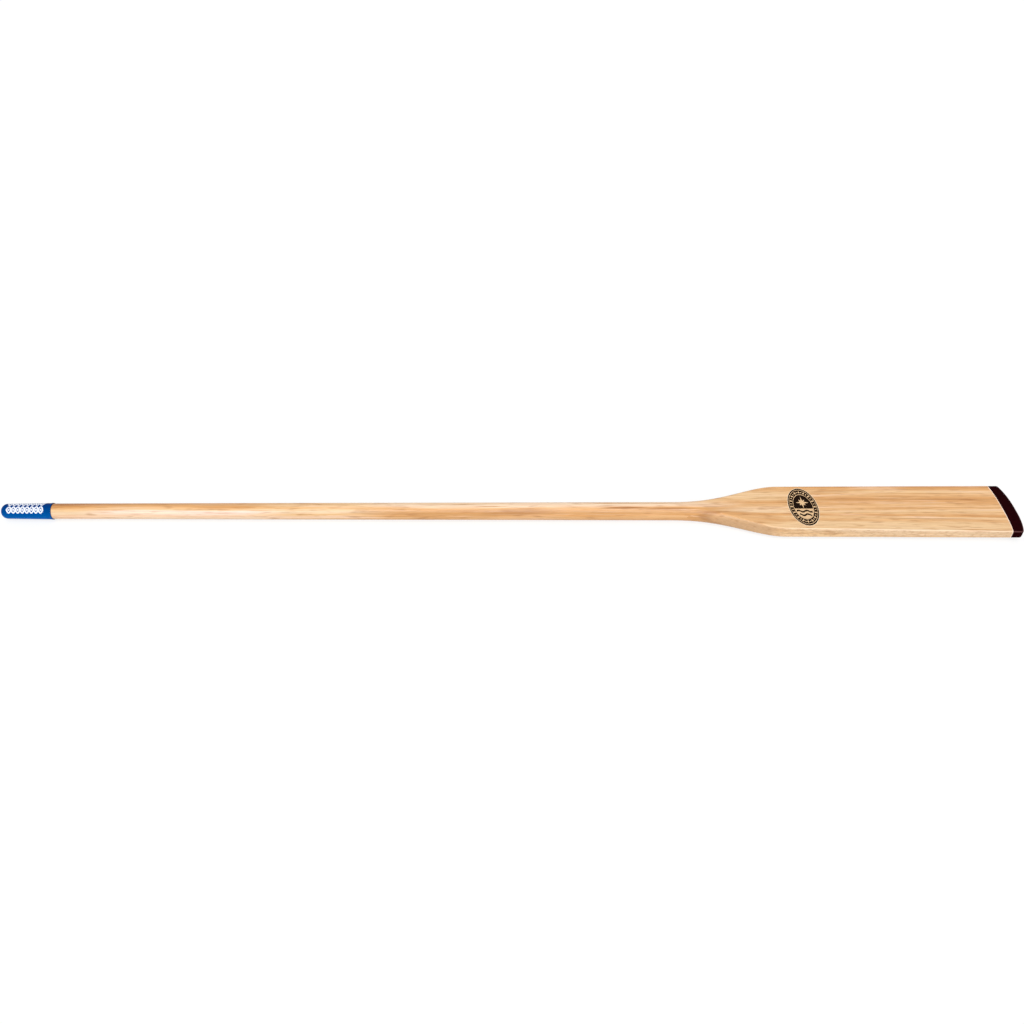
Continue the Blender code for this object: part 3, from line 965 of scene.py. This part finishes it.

# %% [markdown]
# ## The grip
#
# The grip is a vinyl sleeve, dip-moulded, so it has a round closed end, an even wall and a soft bead at
# its mouth. Moulded vinyl has a strong colour, a faint orange-peel skin and a satin gloss. Its blue is
# painted deeper at the upper back and brighter opposite: painted shade, on the side turned away from the
# front lamp.

# %% Finish of the grip
PEEL_SIZE = 1.4 * MM
PEEL_DEPTH = 0.15 * MM
CLOUD_SIZE = 17 * MM
CLOUD_SHARE = 0.5
PAINTED_SHADE_RANGE = {"From Min": -0.75, "From Max": 1.25}
MOUTH_END_FACING = {"From Min": 0.45, "From Max": 0.8}
MOUTH_PAINTED_SHADE = "#050A14"
VINYL_SHINE = (0.1, 0.5, 1.0, 1.0)

grip_vinyl, grip_shader = new_finish("dip_moulded_blue_vinyl")
peel = mottle(grip_vinyl, PEEL_SIZE, detail=2.0)
cloud = mottle(grip_vinyl, CLOUD_SIZE, detail=3.0, unevenness=0.55)
sleeve_normal = add_node(grip_vinyl, "ShaderNodeNewGeometry", output="Normal")
# Painted shade: the blue deepens where the surface faces the upper back and brightens towards the lower
# front, added to the vinyl's random cloud
shade_towards_upper_back = add_node(
    grip_vinyl, "ShaderNodeVectorMath", {0: sleeve_normal, 1: (0.0, *UPPER_BACK)},
    operation="DOT_PRODUCT", output="Value")
cloud_and_painted_shade = add_node(
    grip_vinyl, "ShaderNodeMath", {0: cloud, 1: CLOUD_SHARE, 2: shade_towards_upper_back},
    operation="MULTIPLY_ADD")
painted_shade = add_node(grip_vinyl, "ShaderNodeMapRange", {"Value": cloud_and_painted_shade, **PAINTED_SHADE_RANGE})
grip_tone = add_node(grip_vinyl, "ShaderNodeValToRGB", {"Fac": painted_shade})
set_ramp(grip_tone, [
    (0.0, "#006CC0"), (0.12, "#005AA8"), (0.3, "#004F99"), (0.5, "#004488"), (0.8, "#00397D"),
    (1.0, "#002E6C")])

# The mouth's end face is painted near-black: painted shade for the shadowed gap where the sleeve meets the
# wood
towards_blade = add_node(grip_vinyl, "ShaderNodeSeparateXYZ", {0: sleeve_normal}, output="X")
mouth_shade_share = add_node(grip_vinyl, "ShaderNodeMapRange", {"Value": towards_blade, **MOUTH_END_FACING})
grip_colour = add_node(
    grip_vinyl, "ShaderNodeMix", {0: mouth_shade_share, 6: grip_tone, 7: linear(MOUTH_PAINTED_SHADE)},
    data_type="RGBA", output=2)
grip_bump = add_node(
    grip_vinyl, "ShaderNodeBump", {"Height": peel, "Strength": 0.2, "Distance": PEEL_DEPTH})
set_inputs(grip_shader, {
    "Base Color": grip_colour, "Roughness": 0.36, "Specular IOR Level": 0.02,
    "Specular Tint": VINYL_SHINE, "Normal": grip_bump})

# %% The sleeve
DOME_ROWS = 22
SLEEVE_BODY_ROWS = 24
BEAD_ROWS = 14
SLEEVE_TOP_POINTS = 56


def sleeve_radius(station):
    """Radius of the sleeve's outside: the dome's full ellipse, then a straight taper to the mouth."""
    back = np.clip((GRIP_DOME_DEPTH - station) / GRIP_DOME_DEPTH, 0.0, 1.0)
    round_end = (1 - back ** GRIP_DOME_FULLNESS) ** (1 / GRIP_DOME_FULLNESS)
    taper = sloping(station, GRIP_DOME_DEPTH, GRIP_LENGTH, GRIP_END_RADIUS, GRIP_MOUTH_RADIUS)
    return taper * round_end


outer_stations, outer_radii = dome(0.0, DOME_ROWS)
straight = np.linspace(GRIP_DOME_DEPTH, GRIP_LENGTH - GRIP_BEAD_LENGTH, SLEEVE_BODY_ROWS)[1:-1]
bead_share = 0.5 - 0.5 * np.cos(np.linspace(0.0, np.pi, BEAD_ROWS + 1))
bead = GRIP_LENGTH - GRIP_BEAD_LENGTH * (1 - bead_share)
bead_radii = sleeve_radius(bead) + GRIP_BEAD_HEIGHT * np.sqrt(np.abs(np.sin(np.pi * bead_share)))
bore_stations, bore_radii = dome(GRIP_WALL, DOME_ROWS)
bore_stations = np.append(bore_stations, GRIP_LENGTH)[::-1]
bore_radii = np.append(bore_radii, GRIP_MOUTH_RADIUS - GRIP_WALL)[::-1]
sleeve_stations = np.concatenate([outer_stations, straight, bead, bore_stations])
sleeve_radii = np.concatenate([outer_radii, sleeve_radius(straight), bead_radii, bore_radii])
sleeve_rows = close_ring(round_rows(sleeve_stations, sleeve_radii, SLEEVE_TOP_POINTS))
sleeve_skin = skin(sleeve_rows, start_pole=axis_point(0.0), end_pole=axis_point(GRIP_WALL))
make_piece("vinyl_grip", [sleeve_skin], grip_vinyl, "grip_sleeve")

# %% [markdown]
# ## The printed band on the grip
#
# Such sleeves carry a white print on top. Here it is a plain ornament that belongs to nobody, the
# two-strand plait found on rope work and mouldings: two waves cross and cross back, with a dot in
# each eye. Ink has a thickness of its own, so each strand is a thin raised ribbon that follows the
# sleeve, and its height rises and falls so that it passes over and under the other strand in turn.

# %% Finish of the white ink
INK_GRAIN = 1.1 * MM

white_ink = mottled_finish(
    "white_screen_ink", INK_GRAIN, [(0.0, "#D6DEF0"), (1.0, "#F4F6FB")], "LINEAR",
    roughness=0.42, gloss=0.3)

# %% The plaited print
PLAIT_START = 17 * MM
PLAIT_LENGTH = 77 * MM
PLAIT_EYES = 8
PLAIT_REACH = 6.6 * MM
STRAND_HALF_WIDTH = 1.5 * MM
EYE_DOT_RADIUS = 2.1 * MM
INK_HEIGHT = 0.14 * MM
INK_RISE = 0.05 * MM
ROW_ANGLES = np.radians([67, 128])
STRAND_STEPS = 240
DOT_POINTS = 20
SLEEVE_MEAN_RADIUS = (GRIP_END_RADIUS + GRIP_MOUTH_RADIUS) / 2


def on_sleeve(station, across, row_angle, lift):
    """A place on the sleeve: across the row is an arc length, and lift a height above the vinyl."""
    angle = row_angle + across / SLEEVE_MEAN_RADIUS
    radius = sleeve_radius(station) + lift
    return np.stack([
        station - OAR_LENGTH / 2, radius * np.cos(angle), radius * np.sin(angle) + AXIS_HEIGHT], axis=-1)


def strand(row_angle, side):
    """A ribbon along a sine wave, its width square to the wave, its height a cosine of the same phase."""
    along = np.linspace(0.0, PLAIT_LENGTH, STRAND_STEPS)
    phase = np.pi * PLAIT_EYES * along / PLAIT_LENGTH
    centre = side * PLAIT_REACH * np.sin(phase)
    slope = side * PLAIT_REACH * np.cos(phase) * np.pi * PLAIT_EYES / PLAIT_LENGTH
    length = np.sqrt(1 + slope ** 2)
    edge = STRAND_HALF_WIDTH * np.array([1, -1, -1, 1])
    station = PLAIT_START + along[:, None] - edge * (slope / length)[:, None]
    across = centre[:, None] + edge / length[:, None]
    top = INK_HEIGHT + INK_RISE * side * np.cos(phase)
    lift = top[:, None] * np.array([1, 1, 0, 0])
    return skin(on_sleeve(station, across, row_angle, lift))


def eye_dot(row_angle, eye):
    """A round dot in the middle of an eye: a low disc whose rim is a circle in the print's plane."""
    turn = np.linspace(0.0, 2 * np.pi, DOT_POINTS, endpoint=False)
    middle = PLAIT_START + PLAIT_LENGTH * (eye + 0.5) / PLAIT_EYES
    station = np.broadcast_to(middle + EYE_DOT_RADIUS * np.cos(turn), (2, DOT_POINTS))
    across = np.broadcast_to(EYE_DOT_RADIUS * np.sin(turn), (2, DOT_POINTS))
    lift = np.array([[0.0], [INK_HEIGHT]]) * np.ones(DOT_POINTS)
    rim = on_sleeve(station, across, row_angle, lift)
    bottom = on_sleeve(middle, 0.0, row_angle, 0.0)
    top = on_sleeve(middle, 0.0, row_angle, INK_HEIGHT)
    return skin(rim, start_pole=bottom, end_pole=top)


plait = []
for row_angle in ROW_ANGLES:
    plait += [strand(row_angle, side) for side in (1, -1)]
    plait += [eye_dot(row_angle, eye) for eye in range(PLAIT_EYES)]
make_piece("plait_print", plait, white_ink)

# %% [markdown]
# ## The oval label
#
# A dark oval stands across the blade, near the throat. The print on it here is a plain compass star
# over a sea with two waves, in a border of lozenges and beads, shapes that sailors have drawn for
# centuries. It could be painted on as an image, but then its edges would blur from close by, so each
# ink is a thin shape of its own. The film is flat and a sixth of a millimetre high, a halo of its
# clear edge shows round it, and the light ink and then the dark waves stand a little higher.

# %% Finishes of the label
PRINT_MOTTLE = 2 * MM


def printed_film(name, dark, light, roughness, gloss):
    """A printed film: one ink colour with the faint mottle of absorbed ink, and a satin skin."""
    return mottled_finish(
        name, PRINT_MOTTLE, [(0.35, dark), (0.65, light)], "LINEAR", roughness, gloss,
        detail=4.0, unevenness=0.6)


dark_film = printed_film("dark_brown_printed_film", "#140A05", "#24160E", roughness=0.42, gloss=0.01)
light_ink = printed_film("wood_coloured_ink", "#D9B285", "#EBC79A", roughness=0.5, gloss=0.2)
halo_film = printed_film("clear_film_edge", "#F8D8B0", "#FCE2C0", roughness=0.4, gloss=0.3)

# %% Shapes of the label
FILM_LIFT = 0.03 * MM
FILM_HEIGHT = 0.16 * MM
LAYER_HEIGHT = 0.08 * MM
HALO_WIDTH = 1.1 * MM
OVAL_STEPS = 96


def on_label(along, across, lift):
    """A place on the blade's upper face from the label's middle: the face's height, then a lift."""
    along, across, lift = np.broadcast_arrays(along, across, lift)
    station = LABEL_STATION + along
    thickness = sloping(
        station, THROAT_END, OAR_LENGTH, BLADE_SHOULDER_THICKNESS, BLADE_TIP_THICKNESS)
    height = AXIS_HEIGHT + thickness / 2 + lift
    return np.stack([station - OAR_LENGTH / 2, across, height], axis=-1)


def oval_ring(inner, outer, low, high):
    """A flat oval band between two shares of the label's oval, its section a ring of four points."""
    turn = np.linspace(0.0, 2 * np.pi, OVAL_STEPS, endpoint=False)[:, None]
    share = np.array([outer, inner, inner, outer])
    lift = np.array([high, high, low, low])
    rows = on_label(
        share * LABEL_WIDTH / 2 * np.cos(turn), share * LABEL_LENGTH / 2 * np.sin(turn), lift)
    return skin(rows, looped=True)


def oval_disc(inset, low, high):
    """A low oval disc, its rim rows at two heights, closed to its middle above and below."""
    turn = np.linspace(0.0, 2 * np.pi, OVAL_STEPS, endpoint=False)[None, :]
    lift = np.array([[low], [high]])
    rows = on_label(
        (LABEL_WIDTH / 2 - inset) * np.cos(turn), (LABEL_LENGTH / 2 - inset) * np.sin(turn), lift)
    return skin(rows, start_pole=on_label(0.0, 0.0, low), end_pole=on_label(0.0, 0.0, high))


def ribbon(along, across, low, high):
    """A flat ribbon between two edges, given as (steps, 2) arrays of places on the label."""
    order = [0, 1, 1, 0]
    lift = np.array([high, high, low, low])
    return skin(on_label(along[:, order], across[:, order], lift))


film_top = FILM_LIFT + FILM_HEIGHT
ink_top = film_top + LAYER_HEIGHT
top_ink = ink_top + LAYER_HEIGHT
make_piece("label_edge", [oval_disc(-HALO_WIDTH, FILM_LIFT, FILM_HEIGHT / 2)], halo_film)
make_piece("label_film", [oval_disc(0.0, FILM_LIFT, film_top)], dark_film, "oval_label")

# %% The label's print: a border of lozenges and beads, a star in the sky and waves below
BORDER_MOTIFS = 32
BORDER_SHARE = 0.792
LOZENGE_SIZE = np.array([2.3, 4.0]) * MM
BEAD_SIZE = np.array([1.2, 1.8]) * MM
FIELD_SHARE = 0.64
SKYLINE = -6 * MM
STAR_MIDDLE = 13 * MM
STAR_SIZE = np.array([13.5, 19]) * MM
STAR_RADII = np.tile([1.0, 0.34, 0.66, 0.34], 4)
WAVES_AT = (-14 * MM, -25 * MM)
WAVE_HALF_HEIGHT = 2.6 * MM
WAVE_SWING = 2.2 * MM
WAVE_LENGTH = 17 * MM
WAVE_STEPS = 48
WAVE_REACH = 0.93
SEA_REACH = 0.999
OUTER_RING = (0.905, 0.93)
INNER_RING = (0.65, 0.68)
LOZENGE_CORNERS = 4
BEAD_CORNERS = 12

field_width = FIELD_SHARE * LABEL_WIDTH / 2
field_length = FIELD_SHARE * LABEL_LENGTH / 2


def field_reach(across):
    """Half the width of the oval field at a place across: a circle's chord, stretched to the oval."""
    return field_width * np.sqrt(np.clip(1 - (across / field_length) ** 2, 0.0, 1.0))


def low_prism(middle, along, across):
    """A flat shape of ink between two heights: its outline about a middle, closed to that middle."""
    lift = np.array([[film_top], [ink_top]])
    rows = on_label(middle[0] + along[None, :], middle[1] + across[None, :], lift)
    return skin(rows, start_pole=on_label(*middle, film_top), end_pole=on_label(*middle, ink_top))


def border_motif(turn, corners, size):
    """A lozenge of four corners or a bead of many, on the border's oval, turned to point outwards."""
    rim = np.linspace(0.0, 2 * np.pi, corners, endpoint=False)
    outwards, sideways = size[1] * np.cos(rim), size[0] * np.sin(rim)
    direction = np.array([np.cos(turn), np.sin(turn)])
    middle = BORDER_SHARE * direction * (LABEL_WIDTH / 2, LABEL_LENGTH / 2)
    along = outwards * direction[0] - sideways * direction[1]
    across = outwards * direction[1] + sideways * direction[0]
    return low_prism(middle, along, across)


def compass_star():
    """An eight-pointed star: long, waist, short and waist radii in turn, on a stretched circle."""
    turn = np.linspace(0.0, 2 * np.pi, len(STAR_RADII), endpoint=False)
    along = STAR_SIZE[0] * STAR_RADII * np.sin(turn)
    across = STAR_SIZE[1] * STAR_RADII * np.cos(turn)
    return low_prism(np.array([0.0, STAR_MIDDLE]), along, across)


def light_sea():
    """The field below the skyline, as a ribbon whose width is the field's chord at each height."""
    across = np.linspace(SKYLINE, -SEA_REACH * field_length, WAVE_STEPS)
    reach = field_reach(across)
    edges = np.stack([-reach, reach], axis=-1)
    return ribbon(edges, np.stack([across, across], axis=-1), film_top, ink_top)


def wave_band(across):
    """A wavy ribbon from side to side of the field, its middle a sine of the way along."""
    reach = WAVE_REACH * field_reach(across - WAVE_HALF_HEIGHT)
    along = np.linspace(-reach, reach, WAVE_STEPS)
    middle = across + WAVE_SWING * np.sin(2 * np.pi * along / WAVE_LENGTH)
    edges = np.array([WAVE_HALF_HEIGHT, -WAVE_HALF_HEIGHT])
    return ribbon(np.stack([along, along], axis=-1), middle[:, None] + edges, ink_top, top_ink)


light_print = [oval_ring(*ring, film_top, ink_top) for ring in (OUTER_RING, INNER_RING)]
light_print += [compass_star(), light_sea()]
for motif in range(BORDER_MOTIFS):
    corners, size = ((LOZENGE_CORNERS, LOZENGE_SIZE), (BEAD_CORNERS, BEAD_SIZE))[motif % 2]
    light_print.append(border_motif(2 * np.pi * motif / BORDER_MOTIFS, corners, size))
make_piece("label_light_print", light_print, light_ink)
dark_print = [wave_band(across) for across in WAVES_AT]
make_piece("label_dark_print", dark_print, dark_film)

# %% [markdown]
# ## Floor, light and camera
#
# The oar lies on a plain pale floor under two large soft lamps, one high overhead and one just above
# the camera, with an even white surround. Sun lamps with wide discs light both ends of a long
# thing alike, which a small lamp near its middle can't. The overhead one draws the shine along the
# upper third of the round loom, and the front one fills the blade's side and lights its arris.
#
# The floor and the surround show whiter to the camera and in reflections than they light the oar.
# That gives the white of a catalogue page, with a faint shadow, and leaves the oar's own light plain.

# %% Floor
FLOOR_SIZE = 40.0
FLOOR_GLOW = 0.75
FLOOR_TO_LIGHT = "#E1E1E1"
FLOOR_TO_EYE = "#8C8C8C"
WHITE = (1.0, 1.0, 1.0, 1.0)


def seen_directly(material):
    """1 for a ray that the camera, a mirror reflection or clear glass sends, and 0 for diffuse light."""
    rays = add_node(material, "ShaderNodeLightPath").node.outputs
    either = add_node(
        material, "ShaderNodeMath",
        {0: rays["Is Camera Ray"], 1: rays["Is Glossy Ray"]}, operation="MAXIMUM")
    return add_node(
        material, "ShaderNodeMath", {0: either, 1: rays["Is Transmission Ray"]}, operation="MAXIMUM")


floor_paint, floor_shader = new_finish("matt_white_floor")
directly = seen_directly(floor_paint)
floor_colour = add_node(
    floor_paint, "ShaderNodeMix", {0: directly, 6: linear(FLOOR_TO_LIGHT), 7: linear(FLOOR_TO_EYE)},
    data_type="RGBA", output=2)
floor_glow = add_node(floor_paint, "ShaderNodeMath", {0: directly, 1: FLOOR_GLOW}, operation="MULTIPLY")
set_inputs(floor_shader, {
    "Base Color": floor_colour, "Roughness": 0.9, "Specular IOR Level": 0.0,
    "Emission Color": WHITE, "Emission Strength": floor_glow})

half_floor = FLOOR_SIZE / 2
floor_mesh = bpy.data.meshes.new("floor")
floor_mesh.from_pydata(
    [(-half_floor, -half_floor, 0), (half_floor, -half_floor, 0),
     (half_floor, half_floor, 0), (-half_floor, half_floor, 0)], [], [(0, 1, 2, 3)])
floor_mesh.materials.append(floor_paint)
floor = bpy.data.objects.new("floor", floor_mesh)
bpy.context.collection.objects.link(floor)

# %% Surround and lamps
SURROUND_LEVEL = 0.45

world = bpy.data.worlds.new("studio_surround")
world.use_nodes = True
bpy.context.scene.world = world
surround_light = add_node(
    world, "ShaderNodeMath",
    {0: seen_directly(world), 1: 1.0 - SURROUND_LEVEL, 2: SURROUND_LEVEL}, operation="MULTIPLY_ADD")
set_inputs(world.node_tree.nodes["Background"], {"Color": WHITE, "Strength": surround_light})


def add_lamp(name, level, elevation, disc):
    """A sun lamp square to the oar, from the camera's side, at an elevation and with a disc's width."""
    lamp_data = bpy.data.lights.new(name, "SUN")
    lamp_data.energy = level
    lamp_data.angle = np.radians(disc)
    lamp = bpy.data.objects.new(name, lamp_data)
    height = np.radians(elevation)
    comes_from = Vector((0.0, -np.cos(height), np.sin(height)))
    lamp.rotation_euler = comes_from.to_track_quat("Z", "Y").to_euler()
    bpy.context.collection.objects.link(lamp)


add_lamp("overhead_softbox", level=0.45, elevation=80, disc=20)
add_lamp("front_softbox", level=1.95, elevation=48, disc=35)

# %% Camera
CAMERA_STATION = 1084.5 * MM
CAMERA_DISTANCE = 1991.9 * MM
CAMERA_ELEVATION = np.radians(42)
AIM_STATION = 1077.0 * MM
AIM_BELOW_AXIS = 2.3 * MM
CAMERA_ROLL = -0.0034
LENS_MM = 33.21
SENSOR_MM = 36.0

eye = Vector((
    CAMERA_STATION - OAR_LENGTH / 2,
    -CAMERA_DISTANCE * np.cos(CAMERA_ELEVATION),
    CAMERA_DISTANCE * np.sin(CAMERA_ELEVATION) + AXIS_HEIGHT))
aim = Vector((AIM_STATION - OAR_LENGTH / 2, 0.0, AXIS_HEIGHT - AIM_BELOW_AXIS))
camera_data = bpy.data.cameras.new("camera")
camera_data.sensor_width = SENSOR_MM
camera_data.lens = LENS_MM
camera = bpy.data.objects.new("camera", camera_data)
bpy.context.collection.objects.link(camera)
turn = (aim - eye).to_track_quat("-Z", "Y").to_matrix() @ Matrix.Rotation(CAMERA_ROLL, 3, "Z")
camera.matrix_world = Matrix.Translation(eye) @ turn.to_4x4()
bpy.context.scene.camera = camera
bpy.context.scene.view_settings.view_transform = "Standard"
